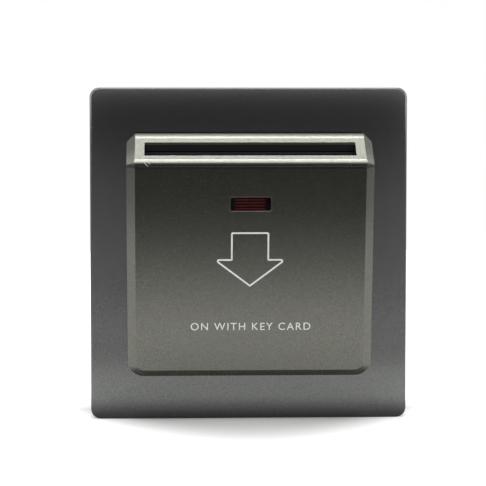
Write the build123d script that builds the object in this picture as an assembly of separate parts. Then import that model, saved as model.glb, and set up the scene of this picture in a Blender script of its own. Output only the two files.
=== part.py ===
from build123d import *
import math
import os

# A wall switch worked by a hotel key card. Millimetres, +Z up, the front faces -Y.
# The wall's surface is the plane y = 0, and the origin lies there midway between the
# two slots for the wall box screws. What is behind the wall plane has positive y.

# Clearances shared by all pieces
seat_gap = 0.3
slide_gap = 0.15
shaft_gap = 0.05
press_gap = 0.02
overrun = 1.0

# Key card that the switch takes
card_width = 54.0
card_side_play = 1.1

# Cover frame
frame_border_x = 10.1
frame_border_z = 12.17
frame_depth = 8.0
frame_corner_radius = 2.7
frame_edge_radius = 0.5
frame_skin = 2.0
frame_wall = 2.2
frame_rib_thickness = 1.2
frame_rib_height = 1.6
frame_rib_x = 18.0
frame_hook_width = 7.0
frame_hook_thickness = 1.4
frame_hook_barb = 0.9
frame_hook_barb_height = 0.9
frame_hook_z = 22.0

# Raised card housing: a steep facet with the slot, above a long sloped face
slot_border = 4.8
housing_drop = 0.07
facet_height = 7.66
bottom_chamfer_height = 1.8
facet_top_rise = 4.57
facet_bottom_rise = 14.4
face_bottom_rise = 5.6
chamfer_width = 2.3
chamfer_depth = 2.2
housing_edge_radius = 2.4
housing_bottom_radius = 4.3
housing_top_corner = 2.4
face_corner_radius = 2.2
housing_wall = 1.8
housing_side_wall = 2.0
flange_width = 2.1
flange_thickness = 1.5
skirt_gap_to_base = 0.3
card_slot_from_top = 4.12
card_slot_opening = 5.6
slot_wall_length = 5.0
card_rail_x = 22.0
card_rail_thickness = 1.5
card_channel = 1.7
rail_lead_in = 2.4
leg_x = 14.0
leg_width = 7.0
leg_thickness = 1.5
leg_inset = 0.3
leg_reach = 1.9
leg_barb = 0.9
leg_barb_start = 0.25
lens_down = 11.35
lens_width = 10.6
lens_height = 3.5
lens_corner_radius = 0.5
lens_window_chamfer = 0.1

# Lens
lens_recess = 0.5
lens_rib_count = 4
lens_rib_height = 0.4
lens_rib_rise = 0.35
lens_rib_inset = 0.8
lens_flange_margin = 1.2
lens_flange_thickness = 0.8

# Card guide, the back wall and floor of the card pocket
pocket_depth = 5.2
guide_side_play = 0.1
guide_thickness = 1.6
floor_from_foot = 12.3
floor_thickness = 1.8
guide_lead_in = 0.8
cheek_inset = 4.0
cheek_thickness = 1.6
cheek_from_top = 5.96
cheek_lower_depth = 6.4
foot_reach = 6.6
foot_height = 5.6
foot_thickness = 2.0
nose_window_height = 12.6
nose_window_width = 12.6
lamp_window_width = 11.0
lamp_window_height = 4.4
ear_x = 13.0
ear_thickness = 1.8
ear_half_height = 3.2
stake_radius = 1.0
stake_x = 11.0
stake_length = 1.9
shelf_to_barrel = 0.2
shelf_below_pivot = 1.85
shelf_overhang = 2.3
shelf_thickness = 1.6
shelf_back = 15.0
shelf_rim_thickness = 1.4
shelf_rim_height = 4.0
spring_rest_width = 2.0
spring_rest_height = 1.6

# Lever that feels the card, and its pin
pivot_z = 6.0
pivot_behind_guide = 3.0
pin_radius = 1.25
pin_overhang = 0.8
barrel_radius = 2.6
barrel_left = 10.0
barrel_right = 7.0
lever_plate_gap = 0.4
lever_plate_thickness = 1.8
lever_plate_half_width = 8.5
lever_plate_to_floor = 1.0
nose_protrusion = 3.5
nose_width = 10.0
nose_start_to_floor = 12.0
nose_tip_to_floor = 5.4
nose_tip_length = 2.0
nose_end_to_floor = 1.8
nose_tip_radius = 0.8
pad_width = 4.4
pad_height = 2.6
lever_rib_below_pivot = 4.85
lever_rib_length = 3.6

# Return spring of the lever
spring_wire_radius = 0.25
spring_mean_radius = 1.9
spring_pitch = 1.0
spring_turns = 4
spring_left = 7.85
spring_leg = 6.5
spring_samples_per_turn = 72

# Microswitch: case, cover, plunger, blade and tabs
switch_length = 27.8
switch_height = 15.9
switch_thickness = 10.3
switch_wall = 1.3
switch_cover_thickness = 1.2
switch_front = 0.5
switch_hole_radius = 1.6
switch_hole_from_end = 2.8
switch_hole_front = 2.9
switch_hole_back = 2.9
switch_boss_radius = 2.6
plunger_x = -3.0
plunger_radius = 1.4
plunger_protrusion = 2.0
plunger_dome = 0.6
plunger_collar_radius = 2.1
plunger_collar_thickness = 0.8
plunger_foot_radius = 0.9
plunger_foot_length = 2.7
blade_x = -9.0
blade_from_front = 6.7
blade_thickness = 0.35
blade_roll_radius = 0.5
blade_width = 4.0
blade_reach = 19.0
contact_x = 8.5
contact_radius = 1.1
contact_height = 0.65
contact_gap = 1.0
tab_thickness = 0.8
tab_width = 4.75
tab_length = 5.1
tab_bridge_x = 3.6
side_tab_to_wall = 1.8
tab_tip_chamfer = 0.9

# Push-on receptacles on the two tabs in use
receptacle_wall = 0.5
receptacle_corner_radius = 0.4
receptacle_start = 17.0
receptacle_overlap = 0.9
crimp_radius = 1.3
crimp_length = 2.0

# Screws and nuts
m3_radius = 1.5
m3_head_radius = 2.6
m3_head_height = 1.8
m3_nut_flats = 5.5
m3_nut_height = 2.4
screw_head_edge_radius = 0.55
screw_slot_width = 0.8
screw_slot_depth = 0.9
assembly_screw_length = 13.0
switch_screw_overhang = 0.8
terminal_screw_head_radius = 2.5
terminal_screw_head_height = 1.6
terminal_screw_slot_depth = 0.7

# Indicator lamp behind the lens, its holder, leads and resistor
lamp_radius = 2.9
lamp_glass = 0.6
lamp_length = 13.0
lamp_behind_guide = 3.4
holder_wall = 1.2
holder_gap = 0.3
holder_ear_reach = 5.0
holder_ear_thickness = 1.2
holder_ear_half_height = 2.2
electrode_radius = 0.3
electrode_spacing = 2.4
electrode_inner_length = 9.0
electrode_stub = 2.6
resistor_radius = 1.15
resistor_length = 6.0
resistor_waist = 0.25
resistor_start = 5.0
lamp_wire_radius = 0.55
wire_radius = 0.75
bend_radius = 2.4
tight_bend_radius = 1.7
terminal_bend_radius = 1.25
lamp_bend_radius = 0.85
lamp_wire_step = 2.4
neutral_wire_drop = 6.0
terminal_wire_rise = 2.4
lamp_wire_to_wall = 2.0
lamp_corridor_inset = 2.6
lamp_wire_back = 23.0
neutral_wire_back = 26.3

# Plate on the wall
base_inset_z = 5.0
hook_room = 0.7
base_thickness = 2.4
base_corner_radius = 3.0
base_window_play = 2.8
base_window_to_boss = 3.7
base_rim_thickness = 1.2
base_rim_height = 1.4
wall_screw_inset = 8.55
wall_slot_radius = 2.2
wall_slot_length = 7.4
wall_slot_sink = 0.8
wall_slot_sink_radius = 4.3
base_ledge_depth = 1.2
hook_play = 0.5

# Body inside the wall box
rear_room = 5.6
wiring_room = 10.525
rear_wall = 1.8
rear_corner_radius = 1.5
rear_edge_radius = 1.0
label_field_width = 30.0
label_field_height = 18.0
label_field_from_top = 6.0
label_field_depth = 0.4
label_field_corner_radius = 1.0
boss_radius = 2.7
boss_depth = 14.0
boss_inset_x = 3.4
boss_inset_z = 2.6
boss_to_side = 3.4
boss_to_end = 2.8
partition_thickness = 1.2
partition_height = 13.0
terminal_screw_access_radius = 2.9
wire_entry_gap = 0.5

# Brass terminal blocks
terminal_pitch = 13.0
block_width = 9.0
block_depth = 10.4
block_height = 11.0
block_edge = 0.5
wire_bore_radius = 2.3
wire_bore_length = 8.2
wire_bore_from_back = 6.4
lead_offset_x = 1.9


# Widths, from the card outwards
card_slot_width = card_width + 2 * card_side_play
housing_width = card_slot_width + 2 * slot_border
frame_width = housing_width + 2 * frame_border_x
base_width = frame_width - 2 * (frame_wall + frame_hook_thickness + hook_room)
wall_screw_spacing = base_width - 2 * wall_screw_inset
guide_width = card_slot_width - 2 * guide_side_play
cheek_x = guide_width / 2 - cheek_inset
boss_x = cheek_x - boss_inset_x
rear_width = 2 * (boss_x + boss_to_side)
lamp_side_x = -(rear_width / 2 - rear_wall - lamp_wire_to_wall)
lamp_corridor_x = lamp_side_x + lamp_corridor_inset
switch_hole_x = switch_length / 2 - switch_hole_from_end
shelf_half_width = switch_length / 2 + shelf_overhang
base_window_width = 2 * (shelf_half_width + base_window_play)

# Heights, from the microswitch and the terminals outwards
switch_z = pivot_z - shelf_below_pivot - switch_thickness / 2
block_bottom = switch_z - tab_width / 2 - wiring_room - block_height
rear_height = 2 * (rear_wall + seat_gap - block_bottom)
boss_z = rear_height / 2 - boss_to_end
cheek_half_height = boss_z + boss_inset_z
housing_top = cheek_half_height + cheek_from_top
housing_height = 2 * (housing_top + housing_drop)
face_drop = housing_height - facet_height - bottom_chamfer_height
frame_height = housing_height + 2 * frame_border_z
base_height = frame_height - 2 * base_inset_z
base_window_height = 2 * (boss_z - base_window_to_boss)

# Depths behind the wall plane
tab_end = switch_front + switch_height + tab_length
rear_depth = tab_end + receptacle_overlap + crimp_length + rear_room
block_back = rear_depth - rear_wall - seat_gap
partition_front = block_back - block_depth - seat_gap - partition_thickness

# Geometry shared by the housing, the lens, the guide and the lever
edge_z = housing_top - facet_height
edge_y = -(frame_depth + facet_bottom_rise)
facet_top_y = -(frame_depth + facet_top_rise)
face_end_y = -(frame_depth + face_bottom_rise)
face_end_z = edge_z - face_drop
housing_bottom = face_end_z - bottom_chamfer_height
lean = math.atan2(face_end_y - edge_y, face_drop)
face_length = math.hypot(face_end_y - edge_y, face_drop)
facet_length = math.hypot(facet_top_y - edge_y, facet_height)
facet_run = (facet_top_y - edge_y) / facet_length
facet_climb = facet_height / facet_length
half_turn = math.pi
guide_inward = housing_wall + pocket_depth + guide_thickness
floor_down = face_length - floor_from_foot
guide_back_y = edge_y + (edge_z - pivot_z) * math.tan(lean) + guide_inward / math.cos(lean)
pivot_y = guide_back_y + pivot_behind_guide
shelf_front = pivot_y + barrel_radius + shelf_to_barrel


def face_point(down, inward):
    """Y and Z of the point so far down the sloped face and so far behind it."""
    return (
        edge_y + down * math.sin(lean) + inward * math.cos(lean),
        edge_z - down * math.cos(lean) + inward * math.sin(lean),
    )


def face_plane(down, inward):
    """A plane along the sloped face, with X to the right, Y up the face and Z outwards."""
    y, z = face_point(down, inward)
    return Plane(origin=(0, y, z), x_dir=(1, 0, 0), z_dir=(0, -math.cos(lean), -math.sin(lean)))


def facet_point(up, inward):
    """Y and Z of the point so far up the facet from its lower edge and so far behind it."""
    return (
        edge_y + up * facet_run + inward * facet_climb,
        edge_z + up * facet_climb - inward * facet_run,
    )


def facet_plane():
    """A plane along the facet, with X to the right, Y up the facet and Z outwards."""
    return Plane(origin=(0, edge_y, edge_z), x_dir=(1, 0, 0), z_dir=(0, -facet_climb, facet_run))


def local_point(y, z):
    """How far down the sloped face, and how far behind it, a point of the side view lies."""
    down = (y - edge_y) * math.sin(lean) - (z - edge_z) * math.cos(lean)
    inward = (y - edge_y) * math.cos(lean) + (z - edge_z) * math.sin(lean)
    return (down, inward)


def area(points):
    return make_face(Polyline(*points, close=True))


def along_x(outline, low, high):
    """An outline drawn in Y and Z, made solid between two values of X."""
    return extrude(Plane.YZ.offset(low) * outline, amount=high - low)


def along_y(outline, low, high):
    """An outline drawn in X and Z, made solid between two values of Y."""
    return extrude(Plane.XZ.offset(-high) * outline, amount=high - low)


def along_z(outline, low, high):
    """An outline drawn in X and Y, made solid between two values of Z."""
    return extrude(Plane.XY.offset(low) * outline, amount=high - low)


def disc(first, second, radius):
    return Pos(first, second) * Circle(radius)


def block(x, y, z):
    """A block between a low and a high value on each axis."""
    centre = [(low + high) / 2 for low, high in (x, y, z)]
    size = [high - low for low, high in (x, y, z)]
    return Pos(*centre) * Box(*size)


def both(half):
    return (-half, half)


def around(centre, half):
    return (centre - half, centre + half)


# Raised card housing

def housing_profile(back):
    """Side view of the housing down to a given depth, with its two front edges rounded."""
    bottom_down = face_length + bottom_chamfer_height / math.cos(lean)
    corners = area([
        (back, housing_top),
        (facet_top_y, housing_top),
        (edge_y, edge_z),
        face_point(bottom_down, 0),
        (back, housing_bottom),
    ])
    top_and_edge = [corner for corner in corners.vertices() if corner.Y > 0 and corner.X < back - overrun]
    return fillet(top_and_edge, housing_edge_radius)


def housing_outline(margin):
    """Front view of the housing, grown outwards by a margin."""
    half = housing_width / 2
    corners = area([
        (-half, housing_bottom),
        (half, housing_bottom),
        (half, housing_top),
        (-half, housing_top),
    ])
    lower = corners.vertices().sort_by(Axis.Y)[:2]
    corners = fillet(lower, housing_bottom_radius)
    upper = corners.vertices().sort_by(Axis.Y)[-2:]
    corners = chamfer(upper, housing_top_corner)
    return offset(corners, amount=margin) if margin else corners


def chamfer_section(share):
    """The face's outline at a share of the chamfer's depth, on the sloped face's plane."""
    half = housing_width / 2 - chamfer_width * (1 - share)
    rise = (bottom_chamfer_height + chamfer_depth * math.sin(lean)) / math.cos(lean)
    low = -face_length - rise * share
    high = 2 * facet_length
    corners = area([(-half, low), (half, low), (half, high), (-half, high)])
    radius = face_corner_radius + (housing_bottom_radius - face_corner_radius) * share
    lower = corners.vertices().sort_by(Axis.Y)[:2]
    return face_plane(0, chamfer_depth * share) * fillet(lower, radius)


def face_chamfer_waste():
    """What the chamfer takes off along the sides and foot of the sloped face."""
    above_share = -0.4
    below_share = 1.3
    slab_share = 1.2
    kept = loft([chamfer_section(above_share), chamfer_section(below_share)], ruled=True)
    reach = 2 * housing_width
    slab = extrude(
        face_plane(0, chamfer_depth * slab_share) * Rectangle(reach, reach * 2),
        amount=chamfer_depth * (slab_share - above_share / 2),
    )
    return slab - kept


def facet_chamfer_waste():
    """What the chamfer takes off along the two sides of the facet."""
    above_share = -0.4
    below_share = 1.2
    waste = []
    for side in (-1, 1):
        inner = housing_width / 2 - chamfer_width * (1 - above_share)
        outer = housing_width / 2 - chamfer_width * (1 - below_share)
        wedge = area([
            (side * inner, -chamfer_depth * above_share),
            (side * outer, -chamfer_depth * below_share),
            (side * (outer + chamfer_width), -chamfer_depth * below_share),
            (side * (outer + chamfer_width), -chamfer_depth * above_share),
        ])
        start = facet_plane()
        low = start.origin - start.y_dir * facet_length
        across = Plane(origin=low, x_dir=(1, 0, 0), z_dir=-start.y_dir)
        waste.append(extrude(across * wedge, amount=-3 * facet_length))
    return waste


def card_slot():
    """The way in for the card, straight down through the facet."""
    low_y = facet_point(facet_length - card_slot_from_top - card_slot_opening, 0)[0]
    high_y = facet_point(facet_length - card_slot_from_top, 0)[0]
    span_z = (edge_z - slot_wall_length, housing_top + overrun)
    return block(both(card_slot_width / 2), (low_y, high_y), span_z)


def housing_cavity():
    reach = housing_wall + overrun
    side_view = offset(housing_profile(reach), amount=-housing_wall, kind=Kind.INTERSECTION)
    hollow = along_x(side_view, -housing_width, housing_width)
    front_view = offset(housing_outline(0), amount=-housing_side_wall)
    span_z = (housing_bottom + housing_wall, housing_top - housing_wall)
    tall = block(both(housing_width), (edge_y, overrun), span_z)
    return hollow & along_y(front_view, edge_y, overrun) & tall


def card_rail(x):
    """A rib behind the face that holds the card near the guide."""
    front = housing_wall - press_gap
    back = housing_wall + pocket_depth - card_channel
    end = floor_down - seat_gap
    start = slot_wall_length
    points = [
        face_point(start, front),
        face_point(start + rail_lead_in, back),
        face_point(end, back),
        face_point(end, front),
    ]
    return along_x(area(points), x - card_rail_thickness / 2, x + card_rail_thickness / 2)


def snap_leg(x, upward):
    """A leg with a barb that hooks behind the base; upward is 1 at the top and -1 at the foot."""
    wall = housing_top if upward > 0 else -housing_bottom
    outer = wall - leg_inset
    inner = outer - leg_thickness
    start = skirt_back() - overrun
    points = [
        (start, inner),
        (start, outer),
        (leg_barb_start, outer),
        (leg_barb_start, outer + leg_barb),
        (leg_reach, outer),
        (leg_reach, inner),
    ]
    side_view = area([(y, upward * z) for y, z in points])
    return along_x(side_view, x - leg_width / 2, x + leg_width / 2)


def skirt_back():
    return -(base_thickness + skirt_gap_to_base)


def flange_front():
    return -(frame_depth - frame_skin - seat_gap)


def lens_cut(margin):
    width = lens_width + 2 * margin
    height = lens_height + 2 * margin
    return RectangleRounded(width, height, lens_corner_radius)


def card_housing():
    body = along_x(housing_profile(skirt_back()), *both(housing_width / 2))
    body &= along_y(housing_outline(0), edge_y - overrun, overrun)
    body -= face_chamfer_waste()
    for waste in facet_chamfer_waste():
        body -= waste
    front = flange_front()
    body += along_y(housing_outline(flange_width), front, front + flange_thickness)
    body -= housing_cavity()
    for side in (-1, 1):
        body += card_rail(side * card_rail_x)
        body += snap_leg(side * leg_x, 1)
        body += snap_leg(side * leg_x, -1)
    body -= card_slot()
    depth = housing_wall + 2 * overrun
    body -= extrude(face_plane(lens_down, housing_wall + overrun) * lens_cut(0), amount=depth)
    rim = [
        face_plane(lens_down, inward) * lens_cut(lens_window_chamfer - inward)
        for inward in (-lens_window_chamfer, lens_window_chamfer)
    ]
    return body - loft(rim, ruled=True)


def indicator_lens():
    """Ribbed lens, set a little back in its window, with a flange behind the wall."""
    window = lens_cut(-slide_gap)
    lens = extrude(face_plane(lens_down, housing_wall) * window, amount=housing_wall - lens_recess)
    flange = RectangleRounded(
        lens_width + 2 * lens_flange_margin, lens_height + 2 * lens_flange_margin, lens_corner_radius
    )
    flange_back = face_plane(lens_down, housing_wall + lens_flange_thickness)
    lens += extrude(flange_back * flange, amount=lens_flange_thickness)
    pitch = (lens_height - 2 * slide_gap) / lens_rib_count
    rib = Rectangle(lens_width - 2 * (slide_gap + lens_rib_inset), lens_rib_height)
    for number in range(lens_rib_count):
        up = (number - (lens_rib_count - 1) / 2) * pitch
        lens += extrude(face_plane(lens_down - up, lens_recess) * rib, amount=lens_rib_rise)
    return lens


# Cover frame

def frame_hook(side, z):
    """A sprung hook behind the frame's side that grips the ledge of the base."""
    inner = base_width / 2 + slide_gap
    outer = inner + frame_hook_thickness
    barb_back = -slide_gap
    barb_front = barb_back - frame_hook_barb_height
    points = [
        (inner, -frame_depth + frame_skin - press_gap),
        (inner, barb_front),
        (inner - frame_hook_barb, barb_front),
        (inner, barb_back),
        (outer, barb_back),
        (outer, -frame_depth + frame_skin - press_gap),
    ]
    plan = area([(side * x, y) for x, y in points])
    return along_z(plan, z - frame_hook_width / 2, z + frame_hook_width / 2)


def frame_window():
    return along_y(housing_outline(slide_gap), -frame_depth - overrun, overrun)


def face_frame():
    outline = RectangleRounded(frame_width, frame_height, frame_corner_radius)
    plate = along_y(outline, -frame_depth, 0)
    front = plate.faces().sort_by(Axis.Y)[0]
    plate = fillet(front.edges(), frame_edge_radius)
    inner_width = frame_width - 2 * frame_wall
    inner_height = frame_height - 2 * frame_wall
    plate -= along_y(
        RectangleRounded(inner_width, inner_height, frame_corner_radius - frame_edge_radius),
        -frame_depth + frame_skin,
        overrun,
    )
    for side in (-1, 1):
        for x in (-frame_rib_x, frame_rib_x):
            outer = side * (inner_height / 2 + press_gap)
            inner = side * (housing_top + flange_width + seat_gap + frame_rib_thickness)
            span_z = (min(inner, outer), max(inner, outer))
            span_y = (frame_skin - frame_depth - press_gap, frame_skin - frame_depth + frame_rib_height)
            plate += block(around(x, frame_rib_thickness / 2), span_y, span_z)
        for z in (-frame_hook_z, frame_hook_z):
            plate += frame_hook(side, z)
    plate -= frame_window()
    return plate


# Card guide

def guide_front():
    return housing_wall + pocket_depth


def guide_back():
    return guide_inward


def guide_top_down():
    """How far down the face the guide's top lies, a gap short of the wall behind the facet."""
    down_share = math.sin(lean) * facet_climb + math.cos(lean) * facet_run
    inward_share = math.cos(lean) * facet_climb - math.sin(lean) * facet_run
    corner = guide_front() + guide_lead_in
    return (housing_wall + seat_gap - inward_share * corner) / down_share


def guide_sheet():
    """Side view of the pocket's back wall and of the floor that stops the card."""
    floor_end = floor_down + floor_thickness
    top = guide_top_down()
    return area([
        face_point(top, guide_front() + guide_lead_in),
        face_point(top + guide_lead_in, guide_front()),
        face_point(floor_down, guide_front()),
        face_point(floor_down, housing_wall + seat_gap),
        face_point(floor_end, housing_wall + seat_gap),
        face_point(floor_end, guide_back()),
        face_point(top, guide_back()),
    ])


def depth_behind_guide(z, inward):
    """Y of the plane so far behind the sloped face, at a height."""
    return edge_y + (edge_z - z) * math.tan(lean) + inward / math.cos(lean)


def cheek():
    """Side view of the wall that carries the guide on the base."""
    floor_y, floor_z = face_point(floor_down + floor_thickness, guide_back())
    return area([
        (depth_behind_guide(edge_z, guide_back() - press_gap), edge_z),
        (-base_thickness, cheek_half_height),
        (-base_thickness, -cheek_half_height),
        (-cheek_lower_depth, -cheek_half_height),
        (floor_y - press_gap, floor_z),
    ])


def lamp_centre():
    """Y and Z of the lamp's centre line, level with the lens along the sloped face."""
    return face_point(lens_down, guide_back() + lamp_behind_guide)


def shelf_z():
    """The underside of the shelf, under which the microswitch hangs face to face."""
    return switch_z + switch_thickness / 2


def pivot_ear():
    front = depth_behind_guide(pivot_z + ear_half_height, guide_back() - press_gap)
    low_front = depth_behind_guide(pivot_z - ear_half_height, guide_back() - press_gap)
    back = shelf_front + ear_thickness
    return area([
        (front, pivot_z + ear_half_height),
        (back, pivot_z + ear_half_height),
        (back, shelf_z()),
        (low_front, pivot_z - ear_half_height),
    ])


def switch_shelf():
    """Shelf behind the lever with a rim along each side and holes for the microswitch screws."""
    low = shelf_z()
    high = low + shelf_thickness
    depth = (shelf_front, shelf_back)
    shelf = block(both(shelf_half_width), depth, (low, high))
    for side in (-1, 1):
        outer = side * shelf_half_width
        inner = side * (shelf_half_width - shelf_rim_thickness)
        shelf += block((min(inner, outer), max(inner, outer)), depth, (low, high + shelf_rim_height))
    for x, y in switch_holes():
        shelf -= along_z(disc(x, y, switch_hole_radius), low - overrun, high + overrun)
    return shelf


def card_guide():
    guide = along_x(guide_sheet(), *both(guide_width / 2))
    middle = floor_down - nose_window_height / 2
    through = guide_thickness + 2 * overrun
    window = Rectangle(nose_window_width, nose_window_height)
    guide -= extrude(face_plane(middle, guide_back() + overrun) * window, amount=through)
    lamp_window = RectangleRounded(lamp_window_width, lamp_window_height, lens_corner_radius)
    guide -= extrude(face_plane(lens_down, guide_back() + overrun) * lamp_window, amount=through)
    for side in (-1, 1):
        inner = side * cheek_x
        outer = side * (cheek_x + cheek_thickness)
        guide += along_x(cheek(), min(inner, outer), max(inner, outer))
        foot_x = (min(inner, inner - side * foot_reach), max(inner, inner - side * foot_reach))
        foot_y = (-(base_thickness + foot_thickness), -base_thickness)
        for upward in (-1, 1):
            ends = (upward * cheek_half_height, upward * (cheek_half_height - foot_height))
            guide += block(foot_x, foot_y, (min(ends), max(ends)))
        inner_ear = side * ear_x
        outer_ear = side * (ear_x + ear_thickness)
        guide += along_x(pivot_ear(), min(inner_ear, outer_ear), max(inner_ear, outer_ear))
        stake_start = face_plane(lens_down, guide_back() - press_gap)
        guide += extrude(stake_start * disc(side * stake_x, 0, stake_radius), amount=-stake_length)
    guide += switch_shelf()
    rest_down = local_point(pivot_y, pivot_z)[0] - spring_leg + spring_rest_height / 2
    rest_start = face_plane(rest_down, guide_back() - press_gap)
    spring_far = spring_left + spring_pitch * spring_turns + spring_wire_radius
    rest = Pos(spring_far, 0) * Rectangle(spring_rest_width, spring_rest_height)
    rest_height = spring_leg_inward() - guide_back()
    guide += extrude(rest_start * rest, amount=-rest_height - press_gap)
    for x, z in boss_places():
        guide -= along_y(disc(x, z, m3_radius + slide_gap), -cheek_lower_depth, 0)
    guide -= along_x(disc(pivot_y, pivot_z, pin_radius + press_gap), *both(guide_width / 2))
    return guide


# Lever, pin and spring

def card_lever():
    front = guide_back() + lever_plate_gap
    back = front + lever_plate_thickness
    pivot_down = local_point(pivot_y, pivot_z)[0]
    plate_end = floor_down - lever_plate_to_floor
    plate = area([
        face_point(pivot_down, front),
        face_point(plate_end, front),
        face_point(plate_end, back),
        face_point(pivot_down, back + lever_plate_thickness),
    ])
    lever = along_x(plate, -lever_plate_half_width, barrel_right)
    lever += along_x(plate, 0, lever_plate_half_width) - along_x(
        disc(pivot_y, pivot_z, spring_mean_radius + 2 * barrel_radius), barrel_right, 2 * barrel_left
    )
    lever += along_x(disc(pivot_y, pivot_z, barrel_radius), -barrel_left, barrel_right)
    tip = guide_front() - nose_protrusion
    nose = area([
        face_point(floor_down - nose_start_to_floor, front + press_gap),
        face_point(floor_down - nose_tip_to_floor, tip),
        face_point(floor_down - nose_tip_to_floor + nose_tip_length, tip),
        face_point(floor_down - nose_end_to_floor, front + press_gap),
    ])
    nose = fillet(nose.vertices().sort_by(Axis.X)[:2], nose_tip_radius)
    lever += along_x(nose, *both(nose_width / 2))
    pad_z = switch_z
    pad_front = depth_behind_guide(pad_z, back - press_gap)
    pad_back = plunger_tip() - seat_gap
    lever += block(
        around(plunger_x, pad_width / 2), (pad_front, pad_back), around(pad_z, pad_height / 2)
    )
    rib_x = (spring_left - spring_wire_radius - seat_gap, lever_plate_half_width)
    rib_start = pivot_down + lever_rib_below_pivot
    rib_end = rib_start + lever_rib_length
    rib = area([
        face_point(rib_start, back - press_gap),
        face_point(rib_end, back - press_gap),
        face_point(rib_end, spring_leg_inward()),
        face_point(rib_start, spring_leg_inward()),
    ])
    lever += along_x(rib, *rib_x)
    lever -= along_x(disc(pivot_y, pivot_z, pin_radius + shaft_gap), -2 * barrel_left, 2 * barrel_left)
    return lever


def spring_leg_inward():
    """How far behind the sloped face the seats of the spring's legs lie, just in front of them."""
    return local_point(pivot_y, pivot_z)[1] + spring_mean_radius - spring_wire_radius - seat_gap


def lever_pin():
    half = ear_x + ear_thickness + pin_overhang
    pin = along_x(disc(pivot_y, pivot_z, pin_radius), *both(half))
    return chamfer(pin.edges().filter_by(GeomType.CIRCLE), pin_overhang / 2)


def helix_point(turn):
    """A point of the spring's centre line, and its direction, after so many turns."""
    angle = 2 * half_turn * turn
    down_y = math.sin(lean)
    down_z = -math.cos(lean)
    in_y = math.cos(lean)
    in_z = math.sin(lean)
    out_share = math.cos(angle)
    down_share = -math.sin(angle)
    point = Vector(
        spring_left + spring_pitch * turn,
        pivot_y + spring_mean_radius * (in_y * out_share + down_y * down_share),
        pivot_z + spring_mean_radius * (in_z * out_share + down_z * down_share),
    )
    speed = 2 * half_turn * spring_mean_radius
    direction = Vector(
        spring_pitch,
        speed * (in_y * down_share - down_y * out_share),
        speed * (in_z * down_share - down_z * out_share),
    )
    return point, direction.normalized()


def biarc(start, start_way, end, end_way):
    """Two arcs that leave one point and reach another in the given directions."""
    span = end - start
    together = start_way + end_way
    bend = 2 * (1 - start_way.dot(end_way))
    lean_in = span.dot(together)
    reach = (math.sqrt(lean_in ** 2 + bend * span.dot(span)) - lean_in) / bend
    middle = (start + start_way * reach + end - end_way * reach) / 2
    first = TangentArc(start, middle, tangent=start_way)
    return [first, TangentArc(middle, end, tangent=first % 1)]


def spring_path():
    """The coil, and at each end a straight leg that runs on from the last turn."""
    pieces = []
    start, way = helix_point(0)
    pieces.append(Line(start - way * spring_leg, start))
    steps = 2 * spring_turns
    for step in range(steps):
        start, way = helix_point(step / 2)
        end, end_way = helix_point((step + 1) / 2)
        pieces += biarc(start, way, end, end_way)
    end, way = helix_point(spring_turns)
    pieces.append(Line(end, end + way * spring_leg))
    return Wire([edge for piece in pieces for edge in piece.edges()])


def lever_spring():
    path = spring_path()
    return sweep(Plane(origin=path @ 0, z_dir=path % 0) * Circle(spring_wire_radius), path=path)


def spring_gap():
    """The least gap of the spring's wire to itself, measured on points of its centre line."""
    count = spring_samples_per_turn
    points = [helix_point(number / count)[0] for number in range(count * spring_turns + 1)]
    start, way = helix_point(0)
    end, end_way = helix_point(spring_turns)
    legs = [number * spring_leg / count for number in range(count)]
    before = [start - way * reach for reach in reversed(legs)]
    after = [end + end_way * reach for reach in legs]
    route = before + points + after
    apart = 2 * half_turn * spring_mean_radius / 2
    travelled = [0]
    for one, other in zip(route, route[1:]):
        travelled.append(travelled[-1] + (other - one).length)
    least = min(
        (route[one] - route[other]).length
        for one in range(len(route))
        for other in range(one + 1, len(route))
        if travelled[other] - travelled[one] > apart
    )
    return least - 2 * spring_wire_radius


# Microswitch

def plunger_tip():
    return switch_front - plunger_protrusion


def switch_holes():
    """X and Y of the two fixing holes, at opposite corners of the case."""
    back = switch_front + switch_height
    return [(-switch_hole_x, switch_front + switch_hole_front), (switch_hole_x, back - switch_hole_back)]


def cover_back_z():
    return shelf_z() - switch_thickness + switch_cover_thickness


def tab_z():
    return around(switch_z, tab_width / 2)


def blade_y():
    return switch_front + blade_from_front


def contact_face_closed():
    """Front of the moving contact, which rests just behind the fixed one."""
    return blade_y() - blade_thickness / 2 - contact_height


def contact_face_open():
    return blade_y() + blade_thickness / 2 + contact_height


def strip_y_closed():
    high = contact_face_closed() - seat_gap - contact_height / 2
    return (high - tab_thickness, high)


def strip_y_open():
    low = contact_face_open() + contact_gap + seat_gap + contact_height / 2
    return (low, low + tab_thickness)


def microswitch_case():
    back = switch_front + switch_height
    half = switch_length / 2
    case = block(both(half), (switch_front, back), (cover_back_z(), shelf_z()))
    case = fillet(case.edges().filter_by(Axis.Z), switch_wall / 2)
    room = block(
        both(half - switch_wall),
        (switch_front + switch_wall, back - switch_wall),
        (cover_back_z() - overrun, shelf_z() - switch_wall),
    )
    for x, y in switch_holes():
        room -= along_z(disc(x, y, switch_boss_radius), cover_back_z() - overrun, shelf_z())
    case -= room
    for x, y in switch_holes():
        case -= along_z(disc(x, y, switch_hole_radius), cover_back_z() - overrun, shelf_z() + overrun)
    bore = disc(plunger_x, switch_z, plunger_radius + shaft_gap)
    case -= along_y(bore, switch_front - overrun, switch_front + switch_wall + overrun)
    low, high = tab_z()
    slot_z = (low - slide_gap, high + slide_gap)
    for x in (blade_x, tab_bridge_x):
        slot_x = around(x, tab_thickness / 2 + slide_gap)
        case -= block(slot_x, (back - switch_wall - overrun, back + overrun), slot_z)
    low, high = strip_y_closed()
    slot_y = (low - slide_gap, high + slide_gap)
    case -= block((half - switch_wall - overrun, half + overrun), slot_y, slot_z)
    return case


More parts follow.
